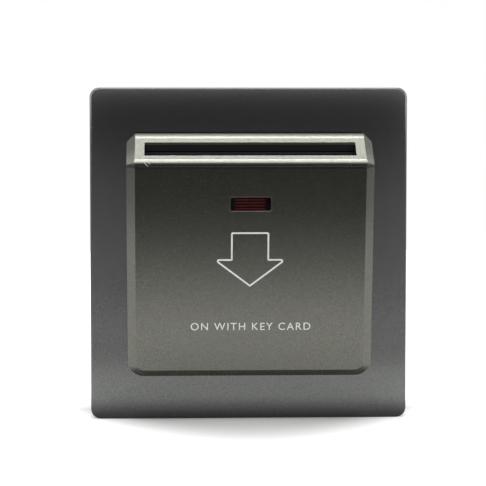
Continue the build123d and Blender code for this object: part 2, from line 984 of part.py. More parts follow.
def microswitch_cover():
    back = switch_front + switch_height
    cover = block(
        both(switch_length / 2), (switch_front, back), (shelf_z() - switch_thickness, cover_back_z())
    )
    cover = fillet(cover.edges().filter_by(Axis.Z), switch_wall / 2)
    for x, y in switch_holes():
        low = shelf_z() - switch_thickness - overrun
        cover -= along_z(disc(x, y, switch_hole_radius), low, cover_back_z() + overrun)
    return cover


def microswitch_plunger():
    z = switch_z
    collar = switch_front + switch_wall + seat_gap
    foot = collar + plunger_collar_thickness
    button = along_y(disc(plunger_x, z, plunger_radius), plunger_tip(), collar)
    tip = button.edges().filter_by(GeomType.CIRCLE).sort_by(Axis.Y)[0]
    button = fillet(tip, plunger_dome)
    button += along_y(disc(plunger_x, z, plunger_collar_radius), collar, foot)
    button += along_y(disc(plunger_x, z, plunger_foot_radius), foot, foot + plunger_foot_length)
    return button


def contact_blade():
    """Sprung strip that carries the moving contacts from one fixed contact to the other."""
    z = around(switch_z, blade_width / 2)
    blade = block((blade_x, blade_x + blade_reach), around(blade_y(), blade_thickness / 2), z)
    tip = blade.edges().filter_by(Axis.Y).sort_by(Axis.X)[-2:]
    blade = chamfer(tip, blade_width / 4)
    blade += along_z(disc(blade_x, blade_y(), blade_roll_radius), *z)
    contact = disc(contact_x, switch_z, contact_radius)
    blade += along_y(contact, contact_face_closed(), contact_face_open())
    return blade


def tab_leg(x, front):
    """A flat tab through the back of the case, with its tip chamfered for the receptacle."""
    leg = block(around(x, tab_thickness / 2), (front, tab_end), tab_z())
    tip = leg.edges().filter_by(Axis.X).sort_by(Axis.Y)[-2:]
    return chamfer(tip, tab_tip_chamfer)


def common_terminal():
    """Tab whose inner end lies just behind the blade's rolled end, on which the blade turns."""
    return tab_leg(blade_x, blade_y() + blade_roll_radius + slide_gap)


def normally_open_terminal():
    low, high = strip_y_open()
    tab = tab_leg(tab_bridge_x, low)
    strip_x = (tab_bridge_x, contact_x + contact_radius + overrun / 2)
    tab += block(strip_x, (low, high), around(switch_z, blade_width / 2))
    tab += along_y(disc(contact_x, switch_z, contact_radius), low - contact_height / 2, high)
    return tab


def normally_closed_terminal():
    low, high = strip_y_closed()
    end = rear_width / 2 - rear_wall - side_tab_to_wall
    tab = block((contact_x - contact_radius - overrun / 2, end), (low, high), tab_z())
    tip = tab.edges().filter_by(Axis.Y).sort_by(Axis.X)[-2:]
    tab = chamfer(tip, tab_tip_chamfer)
    tab += along_y(disc(contact_x, switch_z, contact_radius), low, high + contact_height / 2)
    return tab


def slotted_head(centre, radius, height, slot_depth, plane):
    """A screw head that rises along a plane's normal, with a straight slot across its top."""
    head = extrude(plane * disc(*centre, radius), amount=height)
    edge = head.edges().filter_by(GeomType.CIRCLE).sort_by(Axis(plane.origin, plane.z_dir))[-1]
    head = fillet(edge, screw_head_edge_radius)
    slot = Pos(*centre) * Rectangle(2 * radius + overrun, screw_slot_width)
    return head - extrude(plane.offset(height - slot_depth) * slot, amount=slot_depth + overrun)


def microswitch_screws():
    """Two screws up through the cover, case and shelf, with their heads below."""
    below = shelf_z() - switch_thickness
    head_plane = Plane(origin=(0, 0, below), x_dir=(1, 0, 0), z_dir=(0, 0, -1))
    end = shelf_z() + shelf_thickness + m3_nut_height + switch_screw_overhang
    screws = []
    for x, y in switch_holes():
        screw = slotted_head((x, -y), m3_head_radius, m3_head_height, screw_slot_depth, head_plane)
        screw += along_z(disc(x, y, m3_radius), below - press_gap, end)
        screws.append(screw)
    return screws


def microswitch_nuts():
    start = shelf_z() + shelf_thickness
    nuts = []
    for x, y in switch_holes():
        hexagon = Pos(x, y) * RegularPolygon(m3_nut_flats / 2, 6, major_radius=False)
        nut = along_z(hexagon, start, start + m3_nut_height)
        bore = disc(x, y, m3_radius + shaft_gap)
        nuts.append(nut - along_z(bore, start - overrun, start + m3_nut_height + overrun))
    return nuts


def receptacle(x):
    """A push-on connector: a flat sleeve over the tab with a crimped barrel behind it."""
    half_x = tab_thickness / 2 + shaft_gap
    low, high = tab_z()
    sleeve_end = tab_end + receptacle_overlap
    sleeve = block(
        around(x, half_x + receptacle_wall),
        (receptacle_start, sleeve_end),
        (low - receptacle_wall - shaft_gap, high + receptacle_wall + shaft_gap),
    )
    sleeve = fillet(sleeve.edges().filter_by(Axis.Y), receptacle_corner_radius)
    sleeve -= block(
        around(x, half_x),
        (receptacle_start - overrun, sleeve_end - receptacle_wall),
        (low - shaft_gap, high + shaft_gap),
    )
    barrel_end = sleeve_end + crimp_length
    return sleeve + along_y(disc(x, switch_z, crimp_radius), sleeve_end - press_gap, barrel_end)


def push_on_receptacles():
    return [receptacle(blade_x), receptacle(tab_bridge_x)]


# Terminals in the rear housing

def block_middle_z():
    return block_bottom + block_height / 2


def wire_bore_y():
    return block_back - wire_bore_from_back


def terminal_block(number):
    """A brass block with a blind bore for the wire from below and a tapped hole from behind."""
    x = terminal_x(number)
    span_y = (block_back - block_depth, block_back)
    body = block(around(x, block_width / 2), span_y, (block_bottom, block_bottom + block_height))
    body = chamfer(body.edges().filter_by(Axis.Z), block_edge)
    wire_bore = disc(x, wire_bore_y(), wire_bore_radius)
    body -= along_z(wire_bore, block_bottom - overrun, block_bottom + wire_bore_length)
    tapped_hole = disc(x, block_middle_z(), m3_radius + shaft_gap)
    body -= along_y(tapped_hole, wire_bore_y(), block_back + overrun)
    return body


def terminal_x(number):
    """The middle of terminal 0 on the left, 1 in the middle or 2 on the right."""
    return (number - 1) * terminal_pitch


def terminal_screws():
    """Clamping screws, backed out so that they leave the wire bores free."""
    tip = wire_bore_y() + wire_bore_radius + seat_gap
    head_start = rear_depth - terminal_screw_head_height
    screws = []
    for number in range(3):
        centre = (-terminal_x(number), block_middle_z())
        plane = Plane(origin=(0, head_start, 0), x_dir=(-1, 0, 0), z_dir=(0, 1, 0))
        head = slotted_head(
            centre, terminal_screw_head_radius, terminal_screw_head_height, terminal_screw_slot_depth, plane
        )
        x = terminal_x(number)
        screws.append(head + along_y(disc(x, block_middle_z(), m3_radius), tip, head_start + press_gap))
    return screws


# Indicator lamp

def lamp_box(margin, front, back):
    """A block around the lamp in the sloped frame, from one depth to another."""
    half = lamp_radius + margin
    start = face_plane(lens_down, back)
    width = lamp_length + 2 * margin
    return extrude(start * Rectangle(width, 2 * half), amount=back - front)


def lamp_holder():
    """A tray behind the guide's lamp window, held on two stakes of the guide."""
    behind = guide_back() + lamp_behind_guide + lamp_radius + holder_gap
    tray = lamp_box(holder_gap + holder_wall, guide_back(), behind + holder_wall)
    tray -= lamp_box(holder_gap, guide_back() - overrun, behind)
    seat = face_plane(lens_down, guide_back() + holder_ear_thickness)
    half_length = lamp_length / 2 + holder_gap + holder_wall
    for side in (-1, 1):
        reach = holder_ear_reach + press_gap
        ear_middle = side * (half_length - press_gap + reach / 2)
        ear = Pos(ear_middle, 0) * Rectangle(reach, 2 * holder_ear_half_height)
        tray += extrude(seat * ear, amount=holder_ear_thickness)
        hole = disc(side * stake_x, 0, stake_radius + slide_gap)
        behind_ear = face_plane(lens_down, guide_back() + 2 * holder_ear_thickness)
        tray -= extrude(behind_ear * hole, amount=stake_length * 2)
    slot_height = electrode_spacing + 2 * lamp_wire_radius
    lead_slot = Pos(-half_length, 0) * Rectangle(2 * holder_wall + holder_gap, slot_height)
    deep = lamp_radius + lamp_wire_radius
    tray -= extrude(face_plane(lens_down, behind - lamp_radius + lamp_wire_radius) * lead_slot, amount=deep)
    return tray


def electrode_places():
    """Y and Z of the lamp's two leads, one above the other."""
    y, z = lamp_centre()
    return [(y, z + electrode_spacing / 2), (y, z - electrode_spacing / 2)]


def neon_lamp_glass():
    y, z = lamp_centre()
    half = lamp_length / 2
    bulb = along_x(disc(y, z, lamp_radius), *both(half))
    far_end = bulb.edges().filter_by(GeomType.CIRCLE).sort_by(Axis.X)[-1]
    bulb = fillet(far_end, lamp_radius / 2)
    bulb -= along_x(disc(y, z, lamp_radius - lamp_glass), -half + 2 * lamp_glass, half - 2 * lamp_glass)
    for lead_y, lead_z in electrode_places():
        bulb -= along_x(disc(lead_y, lead_z, electrode_radius + press_gap), -half - overrun, 0)
    return bulb


def neon_lamp_electrodes():
    start = -lamp_length / 2
    leads = []
    for y, z in electrode_places():
        lead = disc(y, z, electrode_radius)
        leads.append(along_x(lead, start - electrode_stub, start + electrode_inner_length))
    return leads


def wire(points, radii, radius):
    """An insulated wire along straight runs joined by arcs."""
    path = FilletPolyline(*points, radius=radii)
    tube = sweep(Plane(origin=path @ 0, z_dir=path % 0) * Circle(radius), path=path)
    expected = half_turn * radius ** 2 * path.length
    print("wire length", round(path.length, 2), "share of full volume", round(tube.volume / expected, 4))
    return tube


def resistor_y():
    return (resistor_start, resistor_start + resistor_length)


def wire_lamp_to_resistor():
    y, z = electrode_places()[1]
    start_x = -lamp_length / 2 - electrode_stub
    start = resistor_y()[0]
    points = [(start_x, y, z), (lamp_corridor_x, y, z), (lamp_corridor_x, start, z)]
    return wire(points, [bend_radius], lamp_wire_radius)


def lamp_resistor():
    """Two end caps with a thinner body between them, on the lamp's lower lead."""
    z = electrode_places()[1][1]
    low, high = resistor_y()
    quarter = resistor_length / 4
    body = along_y(disc(lamp_corridor_x, z, resistor_radius - resistor_waist), low, high)
    body += along_y(disc(lamp_corridor_x, z, resistor_radius), low, low + quarter)
    body += along_y(disc(lamp_corridor_x, z, resistor_radius), high - quarter, high)
    return body


def wire_resistor_to_neutral():
    z = electrode_places()[1][1]
    top = block_bottom + block_height
    x = terminal_x(1)
    points = [
        (lamp_corridor_x, resistor_y()[1], z),
        (lamp_corridor_x, neutral_wire_back, z),
        (x - lead_offset_x, neutral_wire_back, z - neutral_wire_drop),
        (x, neutral_wire_back, -neutral_wire_drop),
        (x, wire_bore_y(), top + neutral_wire_drop),
        (x, wire_bore_y(), top),
    ]
    return wire(points, [tight_bend_radius] * 4, lamp_wire_radius)


def wire_lamp_live():
    y, z = electrode_places()[0]
    top = block_bottom + block_height
    start_x = -lamp_length / 2 - electrode_stub
    high_z = z + electrode_spacing
    end_x = terminal_x(0) - lead_offset_x
    points = [
        (start_x, y, z),
        (lamp_corridor_x + lamp_wire_step, y, z),
        (lamp_corridor_x, y + lamp_wire_step, high_z),
        (lamp_corridor_x, lamp_wire_step, high_z),
        (lamp_side_x, resistor_y()[1], high_z),
        (lamp_side_x, lamp_wire_back, high_z),
        (lamp_side_x + lead_offset_x, lamp_wire_back, 0),
        (end_x, wire_bore_y(), top + lamp_wire_step),
        (end_x, wire_bore_y(), top),
    ]
    tight = [lamp_bend_radius]
    radii = 2 * tight + 4 * [bend_radius] + tight
    return wire(points, radii, lamp_wire_radius)


def switch_wire(tab_x, end_x):
    """From a receptacle's barrel back, across and down to the top of a terminal block."""
    top = block_bottom + block_height
    start = tab_end + receptacle_overlap + crimp_length
    back = block_back - wire_radius - seat_gap
    z = switch_z
    points = [
        (tab_x, start, z),
        (tab_x, back, z),
        (end_x, back - wire_radius, (z + top) / 2),
        (end_x, wire_bore_y(), top + terminal_wire_rise),
        (end_x, wire_bore_y(), top),
    ]
    return wire(points, [terminal_bend_radius] * 3, wire_radius)


def wire_live():
    return switch_wire(blade_x, terminal_x(0) + lead_offset_x)


def wire_load():
    return switch_wire(tab_bridge_x, terminal_x(2))


# Plate on the wall

def boss_places():
    """X and Z of the four screws that hold guide, base and rear housing together."""
    return [(x, z) for x in both(boss_x) for z in both(boss_z)]


def leg_slot(x, upward):
    wall = housing_top if upward > 0 else -housing_bottom
    outer = wall - leg_inset + seat_gap
    inner = wall - leg_inset - leg_thickness - leg_barb - seat_gap
    ends = (upward * inner, upward * outer)
    half = leg_width / 2 + seat_gap
    return block(around(x, half), (-base_thickness - overrun, overrun), (min(ends), max(ends)))


def wall_slot(x):
    """A slot for a wall box screw, sunk a little round its head."""
    slot = Pos(x, 0) * SlotOverall(wall_slot_length, 2 * wall_slot_radius)
    through = along_y(slot, -2 * base_thickness, overrun)
    sink_length = wall_slot_length - 2 * wall_slot_radius + 2 * wall_slot_sink_radius
    sink = Pos(x, 0) * SlotOverall(sink_length, 2 * wall_slot_sink_radius)
    return through + along_y(sink, -2 * base_thickness, -base_thickness + wall_slot_sink)


def mounting_base():
    outline = RectangleRounded(base_width, base_height, base_corner_radius)
    base = along_y(outline, -base_thickness, 0)
    rim = outline - offset(outline, amount=-base_rim_thickness)
    base += along_y(rim, -base_thickness - base_rim_height, -base_thickness + press_gap)
    window = RectangleRounded(base_window_width, base_window_height, base_corner_radius)
    base -= along_y(window, -2 * base_thickness, overrun)
    for side in (-1, 1):
        base -= wall_slot(side * wall_screw_spacing / 2)
        base -= leg_slot(side * leg_x, 1)
        base -= leg_slot(side * leg_x, -1)
        for z in (-frame_hook_z, frame_hook_z):
            outer = side * (base_width / 2 + overrun)
            inner = side * (base_width / 2 - frame_hook_barb - seat_gap)
            notch_z = around(z, frame_hook_width / 2 + hook_play)
            base -= block((min(inner, outer), max(inner, outer)), (-base_ledge_depth, overrun), notch_z)
    for x, z in boss_places():
        base -= along_y(disc(x, z, m3_radius + slide_gap), -2 * base_thickness, overrun)
    return base


# Body inside the wall box

def rear_housing():
    outer = along_y(RectangleRounded(rear_width, rear_height, rear_corner_radius), 0, rear_depth)
    back = outer.faces().sort_by(Axis.Y)[-1]
    outer = fillet(back.edges(), rear_edge_radius)
    inner_width = rear_width - 2 * rear_wall
    inner_height = rear_height - 2 * rear_wall
    room = block(both(inner_width / 2), (-overrun, rear_depth - rear_wall), both(inner_height / 2))
    shell = outer - room
    for x, z in boss_places():
        shell += along_y(disc(x, z, boss_radius), 0, boss_depth) & outer
    low = -inner_height / 2 - press_gap
    high = low + partition_height
    deep = (partition_front, rear_depth - rear_wall + press_gap)
    for side in (-1, 1):
        x = side * terminal_pitch / 2
        shell += block(around(x, partition_thickness / 2), deep, (low, high))
    front_wall = (partition_front, partition_front + partition_thickness)
    span = both(terminal_pitch + block_width / 2 + seat_gap + partition_thickness)
    shell += block(span, front_wall, (low, high))
    for number in range(3):
        x = terminal_x(number)
        entry = disc(x, wire_bore_y(), wire_bore_radius + wire_entry_gap)
        shell -= along_z(entry, -rear_height / 2 - overrun, block_bottom)
        access = disc(x, block_middle_z(), terminal_screw_access_radius)
        shell -= along_y(access, block_back, rear_depth + overrun)
    for x, z in boss_places():
        shell -= along_y(disc(x, z, m3_radius + press_gap), -overrun, boss_depth - rear_wall)
    field = RectangleRounded(label_field_width, label_field_height, label_field_corner_radius)
    field_z = rear_height / 2 - label_field_from_top - label_field_height / 2
    return shell - along_y(Pos(0, field_z) * field, rear_depth - label_field_depth, rear_depth + overrun)


def assembly_screws():
    head_start = -(base_thickness + foot_thickness)
    plane = Plane(origin=(0, head_start, 0), x_dir=(1, 0, 0), z_dir=(0, -1, 0))
    screws = []
    for x, z in boss_places():
        screw = slotted_head((x, z), m3_head_radius, m3_head_height, screw_slot_depth, plane)
        shank = disc(x, z, m3_radius)
        screws.append(screw + along_y(shank, head_start - press_gap, head_start + assembly_screw_length))
    return screws


def write(name, shape):
    """One STEP file for a node; a list of equal pieces shares one node."""
    pieces = shape if isinstance(shape, list) else [shape]
    solids = [solid for piece in pieces for solid in piece.solids()]
    node = Compound(children=solids) if len(solids) > 1 else solids[0]
    node.label = name
    export_step(node, os.path.join("parts", name + ".step"))


nodes = {
    "face_frame": face_frame,
    "card_housing": card_housing,
    "indicator_lens": indicator_lens,
    "card_guide": card_guide,
    "card_lever": card_lever,
    "lever_pin": lever_pin,
    "lever_spring": lever_spring,
    "lamp_holder": lamp_holder,
    "neon_lamp_glass": neon_lamp_glass,
    "neon_lamp_electrodes": neon_lamp_electrodes,
    "lamp_resistor": lamp_resistor,
    "wire_lamp_live": wire_lamp_live,
    "wire_lamp_to_resistor": wire_lamp_to_resistor,
    "wire_resistor_to_neutral": wire_resistor_to_neutral,
    "wire_live": wire_live,
    "wire_load": wire_load,
    "mounting_base": mounting_base,
    "rear_housing": rear_housing,
    "microswitch_case": microswitch_case,
    "microswitch_cover": microswitch_cover,
    "microswitch_plunger": microswitch_plunger,
    "contact_blade": contact_blade,
    "common_terminal": common_terminal,
    "normally_open_terminal": normally_open_terminal,
    "normally_closed_terminal": normally_closed_terminal,
    "microswitch_screws": microswitch_screws,
    "microswitch_nuts": microswitch_nuts,
    "push_on_receptacles": push_on_receptacles,
    "terminal_screws": terminal_screws,
    "assembly_screws": assembly_screws,
}

os.makedirs("parts", exist_ok=True)
for name, make in nodes.items():
    write(name, make())
for number, use in enumerate(("live", "neutral", "load")):
    write(use + "_terminal_block", terminal_block(number))
print("least gap of the lever spring to itself", round(spring_gap(), 3))
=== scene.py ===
import math

import bpy
from mathutils import Matrix, Vector


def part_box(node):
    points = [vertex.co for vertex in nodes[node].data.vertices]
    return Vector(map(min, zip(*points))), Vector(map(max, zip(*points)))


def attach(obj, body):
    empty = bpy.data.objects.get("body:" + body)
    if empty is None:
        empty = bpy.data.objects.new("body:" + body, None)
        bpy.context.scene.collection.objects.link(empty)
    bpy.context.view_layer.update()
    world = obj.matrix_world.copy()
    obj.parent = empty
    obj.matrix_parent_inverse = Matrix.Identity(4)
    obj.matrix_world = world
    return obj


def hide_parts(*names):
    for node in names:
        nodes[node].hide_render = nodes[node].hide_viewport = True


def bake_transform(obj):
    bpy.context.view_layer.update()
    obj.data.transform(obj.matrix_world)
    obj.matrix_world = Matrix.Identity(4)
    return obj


MM = 0.001

# Sizes of the solids that paint and print are fitted to, in mm
FRAME_HALF_WIDTH, FRAME_HALF_HEIGHT, FRAME_FRONT = 43.0, 45.0, -8.0
HOUSING_TOP, HOUSING_FOOT, HOUSING_HALF_WIDTH = 32.76, -32.9, 32.9
EDGE_Y, EDGE_Z = -22.4, 25.1
FACE_DROP, FACE_RUN = 56.2, 8.8
FACET_HEIGHT, FACET_RUN = 7.66, 9.83
OPENINGS_HALF_WIDTH, OPENINGS_FOOT = 28.4, -20.0
LENS_DOWN, LENS_HALF_WIDTH, LENS_HALF_HEIGHT = 11.35, 5.3, 1.75
LABEL_FIELD_TOP, LABEL_FIELD_DEPTH = 6.0, 0.4

# The steep facet and the sloped face meet in an edge near the top of the housing
EDGE = Vector((0, EDGE_Y, EDGE_Z))
LEAN = math.atan2(FACE_RUN, FACE_DROP)
FACE_UP = Vector((0, -math.sin(LEAN), math.cos(LEAN)))
FACE_OUT = Vector((0, -math.cos(LEAN), -math.sin(LEAN)))
FACET_OUT = Vector((0, -FACET_HEIGHT, FACET_RUN)).normalized()
LENS_CENTRE = EDGE - FACE_UP * LENS_DOWN

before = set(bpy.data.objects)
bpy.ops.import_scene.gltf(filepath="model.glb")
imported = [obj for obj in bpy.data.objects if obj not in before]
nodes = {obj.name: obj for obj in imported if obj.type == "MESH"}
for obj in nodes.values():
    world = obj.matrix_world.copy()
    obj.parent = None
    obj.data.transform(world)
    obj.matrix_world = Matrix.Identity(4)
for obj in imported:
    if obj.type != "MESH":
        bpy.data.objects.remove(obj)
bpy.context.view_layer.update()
bpy.context.scene.view_settings.view_transform = "Standard"


# Camera

def make_camera():
    data = bpy.data.cameras.new("camera")
    data.lens = 136.037
    data.sensor_width = 36.0
    data.clip_start = 0.01
    camera = bpy.data.objects.new("camera", data)
    camera.location = (-0.020793, -0.505499, 0.032822)
    camera.rotation_euler = [math.radians(a) for a in (86.560, 0.020, -2.2112)]
    bpy.context.scene.collection.objects.link(camera)
    bpy.context.scene.camera = camera


make_camera()


# Node trees

class Nodes:
    """Short calls for the nodes of one tree. A value is a number or another node's output."""

    def __init__(self, tree):
        self.tree = tree

    def node(self, kind, **settings):
        made = self.tree.nodes.new(kind)
        for name, value in settings.items():
            setattr(made, name, value)
        return made

    def put(self, socket, value):
        if isinstance(value, bpy.types.NodeSocket):
            self.tree.links.new(value, socket)
        else:
            socket.default_value = value

    def math(self, operation, *values):
        made = self.node("ShaderNodeMath", operation=operation)
        for socket, value in zip(made.inputs, values):
            self.put(socket, value)
        return made.outputs[0]

    def over(self, operation, first, *others):
        """One operation on two values, then on the result and the next value, and so on."""
        for other in others:
            first = self.math(operation, first, other)
        return first

    def times(self, *values):
        return self.over("MULTIPLY", *values)

    def plus(self, *values):
        return self.over("ADD", *values)

    def least(self, *values):
        return self.over("MINIMUM", *values)

    def most(self, *values):
        return self.over("MAXIMUM", *values)

    def absolute(self, value):
        return self.math("ABSOLUTE", value)

    def ramp(self, value, low, high, to_low=0.0, to_high=1.0):
        """Smooth step: to_low up to low, to_high from high on."""
        made = self.node("ShaderNodeMapRange", interpolation_type="SMOOTHSTEP")
        for socket, given in zip(made.inputs, (value, low, high, to_low, to_high)):
            self.put(socket, given)
        return made.outputs[0]

    def separate(self, place):
        made = self.node("ShaderNodeSeparateXYZ")
        self.put(made.inputs[0], place)
        return made.outputs


class Finish(Nodes):
    """A material with a Principled shader. Lengths in its nodes are in metres."""

    def __init__(self, name, **settings):
        self.material = bpy.data.materials.new(name)
        self.material.use_nodes = True
        super().__init__(self.material.node_tree)
        self.shader = self.tree.nodes["Principled BSDF"]
        self.place = self.node("ShaderNodeTexCoord").outputs["Object"]
        for socket, value in settings.items():
            self.shader.inputs[socket.replace("_", " ")].default_value = value

    def feed(self, name, value):
        self.put(self.shader.inputs[name], value)

    def axis(self, name):
        return self.separate(self.place)[name]

    def distance(self, point, normal):
        """How far the surface point lies along a normal from a point given in mm."""
        away = self.node("ShaderNodeVectorMath", operation="DOT_PRODUCT")
        self.put(away.inputs[0], self.place)
        away.inputs[1].default_value = normal
        return self.math("SUBTRACT", away.outputs["Value"], Vector(point).dot(normal) * MM)

    def rise(self, length, start, end):
        """0 up to start, 1 from end on, both in mm."""
        return self.ramp(length, start * MM, end * MM)

    def fall(self, length, start, end):
        """1 up to start, 0 from end on, both in mm."""
        return self.ramp(length, start * MM, end * MM, 1.0, 0.0)

    def stretched(self, scale):
        made = self.node("ShaderNodeMapping")
        self.put(made.inputs["Vector"], self.place)
        made.inputs["Scale"].default_value = scale
        return made.outputs[0]

    def noise(self, scale, detail=2.0, roughness=0.5, where=None):
        made = self.node("ShaderNodeTexNoise")
        self.put(made.inputs["Vector"], where or self.place)
        made.inputs["Scale"].default_value = scale
        made.inputs["Detail"].default_value = detail
        made.inputs["Roughness"].default_value = roughness
        return made.outputs["Fac"]

    def cells(self, scale):
        made = self.node("ShaderNodeTexVoronoi")
        self.put(made.inputs["Vector"], self.place)
        made.inputs["Scale"].default_value = scale
        shade = self.node("ShaderNodeSeparateColor")
        self.put(shade.inputs[0], made.outputs["Color"])
        return shade.outputs[0]

    def mix(self, share, first, second):
        made = self.node("ShaderNodeMix", data_type="RGBA")
        self.put(made.inputs["Factor"], share)
        for socket, value in ((made.inputs[6], first), (made.inputs[7], second)):
            if isinstance(value, (tuple, list)):
                value = (*value, 1.0)
            self.put(socket, value)
        return made.outputs[2]

    def level(self, share, first, second):
        """A number that goes from first to second as share goes from 0 to 1."""
        made = self.node("ShaderNodeMix", data_type="FLOAT")
        for i, value in ((0, share), (2, first), (3, second)):
            self.put(made.inputs[i], value)
        return made.outputs[0]

    def bump(self, height, strength, distance, under=None):
        """Bump from a height, on top of the bump under it if there is one."""
        made = self.node("ShaderNodeBump")
        self.put(made.inputs["Height"], height)
        made.inputs["Strength"].default_value = strength
        made.inputs["Distance"].default_value = distance
        if under is not None:
            self.put(made.inputs["Normal"], under)
        self.feed("Normal", made.outputs[0])
        return made.outputs[0]


# General materials

def shades(colour, share):
    return [c * share for c in colour]


def moulded(name, colour, roughness=0.45, spread=0.14, **settings):
    """Moulded plastic: a fine eroded grain, slow flow marks and slightly uneven gloss."""
    made = Finish(name, **settings)
    flow = made.noise(scale=180.0, detail=3.0)
    grain = made.noise(scale=9000.0, roughness=0.6)
    shade = made.math("MULTIPLY_ADD", flow, 0.4, made.times(grain, 0.6))
    dark, light = shades(colour, 1 - spread), shades(colour, 1 + spread)
    made.feed("Base Color", made.mix(made.ramp(shade, 0.3, 0.7), dark, light))
    made.feed("Roughness", made.ramp(flow, 0.3, 0.7, roughness - 0.06, roughness + 0.06))
    made.bump(grain, strength=0.25, distance=0.02 * MM)
    return made


def drawn_metal(name, colour, roughness, along=(1, 1, 1)):
    """Bare metal with fine drawing lines, faint tarnish and uneven gloss."""
    made = Finish(name, Metallic=1.0)
    lines = made.noise(scale=5000.0, detail=3.0, roughness=0.6, where=made.stretched(along))
    tarnish = made.noise(scale=450.0, detail=4.0, roughness=0.6)
    dull = shades(colour, 0.72)
    made.feed("Base Color", made.mix(made.ramp(tarnish, 0.35, 0.72), colour, dull))
    made.feed("Roughness", made.ramp(lines, 0.3, 0.7, roughness - 0.07, roughness + 0.1))
    made.bump(lines, strength=0.15, distance=0.01 * MM)
    return made


def insulation(name, colour):
    """Extruded PVC on a wire: glossy, with faint drag marks."""
    made = Finish(name, Coat_Weight=0.3, Coat_Roughness=0.15)
    marks = made.noise(scale=2500.0, detail=3.0)
    made.feed("Base Color", made.mix(made.ramp(marks, 0.3, 0.7), shades(colour, 0.82), colour))
    made.feed("Roughness", made.ramp(marks, 0.3, 0.7, 0.28, 0.4))
    made.bump(marks, strength=0.12, distance=0.02 * MM)
    return made


def clear_glass():
    made = Finish("clear_glass", IOR=1.47, Transmission_Weight=1.0)
    haze = made.noise(scale=500.0, detail=3.0)
    clean, dusty = (0.97, 0.98, 0.98), (0.9, 0.92, 0.92)
    made.feed("Base Color", made.mix(made.ramp(haze, 0.3, 0.7), clean, dusty))
    made.feed("Roughness", made.ramp(haze, 0.3, 0.7, 0.02, 0.07))
    return made


def white_ink():
    """Pad-printed ink: slightly uneven, a little thin at places."""
    made = Finish("white_ink")
    thin = made.noise(scale=1800.0, detail=3.0, roughness=0.6)
    full, worn = (0.93, 0.93, 0.91), (0.8, 0.8, 0.78)
    made.feed("Base Color", made.mix(made.ramp(thin, 0.32, 0.7), full, worn))
    made.feed("Roughness", made.ramp(thin, 0.3, 0.7, 0.42, 0.55))
    return made


# Graphite paint on the frame and the housing

RAW_PLASTIC = (0.007, 0.007, 0.008)


def graphite(name, inner, pale, dark, marks, crown):
    """Satin graphite paint with fine metal flake, over dark plastic that shows where inner is 1.

    Each mark is a mask, the colour there and how metallic it is. The crown is a height."""
    made = Finish(name)
    inside = inner(made)
    flake = made.cells(scale=7000.0)
    speckle = made.noise(scale=8000.0, roughness=0.6)
    cloud = made.noise(scale=60.0, detail=3.0)
    sparkle = made.math("MULTIPLY_ADD", flake, 0.6, made.times(speckle, 0.4))
    paint = made.mix(made.ramp(sparkle, 0.15, 0.85), dark, pale)
    paint = made.mix(made.ramp(cloud, 0.3, 0.7, 0.0, 0.1), paint, pale)
    metal = 1.0
    for mask, colour, metallic in marks:
        marked = mask(made)
        paint = made.mix(marked, paint, colour)
        metal = made.level(marked, metal, metallic)
    grain = made.noise(scale=9000.0, roughness=0.6)
    low, high = shades(RAW_PLASTIC, 0.8), shades(RAW_PLASTIC, 1.2)
    plastic = made.mix(made.ramp(grain, 0.3, 0.7), low, high)
    made.feed("Base Color", made.mix(inside, paint, plastic))
    made.feed("Metallic", made.level(inside, metal, 0.0))
    gloss = made.ramp(speckle, 0.2, 0.8, 0.2, 0.28)
    made.feed("Roughness", made.level(inside, gloss, 0.5))
    made.feed("Specular IOR Level", made.level(inside, 0.5, 0.2))
    bowed = made.bump(crown(made), strength=1.0, distance=1.0)
    relief = made.plus(made.times(flake, 0.5), speckle)
    made.bump(relief, strength=0.08, distance=0.01 * MM, under=bowed)
    return made


def behind_frame(made):
    """1 on the frame's back and inside, where no paint reaches."""
    wall, soft = 2.0, 0.2
    deep = made.rise(made.axis("Y"), FRAME_FRONT + 1.6, FRAME_FRONT + 2.2)
    for name, half in (("X", FRAME_HALF_WIDTH), ("Z", FRAME_HALF_HEIGHT)):
        away = made.absolute(made.axis(name))
        deep = made.times(deep, made.fall(away, half - wall - soft, half - wall + soft))
    return deep


def frame_crown(made):
    """Height of the frame's front. It falls off slightly towards its outer edges, most in Z."""
    reach, drop_x, drop_z = 6.0, 0.6, 1.6
    falls = []
    for name, half, depth in (("X", FRAME_HALF_WIDTH, drop_x), ("Z", FRAME_HALF_HEIGHT, drop_z)):
        from_edge = made.math("SUBTRACT", half * MM, made.absolute(made.axis(name)))
        share = made.math("EXPONENT", made.math("DIVIDE", from_edge, -reach * MM))
        falls.append(made.times(share, depth * MM))
    return made.times(made.plus(*falls), -1.0)


def painted_shade_on_frame_rim(made):
    """Painted shade on the frame's front: its rounded top edge, and more towards the foot."""
    strength = 0.77
    z = made.axis("Z")
    top = made.rise(z, FRAME_HALF_HEIGHT - 0.7, FRAME_HALF_HEIGHT - 0.3)
    foot = made.ramp(z, (6.5 - FRAME_HALF_HEIGHT) * MM, (0.2 - FRAME_HALF_HEIGHT) * MM)
    front = made.ramp(made.axis("Y"), (FRAME_FRONT + 0.7) * MM, (FRAME_FRONT + 0.5) * MM)
    return made.times(made.most(top, foot), front, strength)


def housing_crown(made):
    """Height of the housing's front: it bends back slightly just under its upper edge."""
    bend_height, bend = 1.6, 140.0
    past = made.math("SUBTRACT", made.axis("Z"), (HOUSING_TOP - bend_height) * MM)
    past = made.most(past, 0.0)
    return made.times(past, past, -bend)


def from_lens(made):
    """Distance on the sloped face from the edge of the lens, below 0 inside it."""
    across = made.math("SUBTRACT", made.absolute(made.axis("X")), LENS_HALF_WIDTH * MM)
    up = made.absolute(made.distance(LENS_CENTRE, FACE_UP))
    return made.most(across, made.math("SUBTRACT", up, LENS_HALF_HEIGHT * MM))


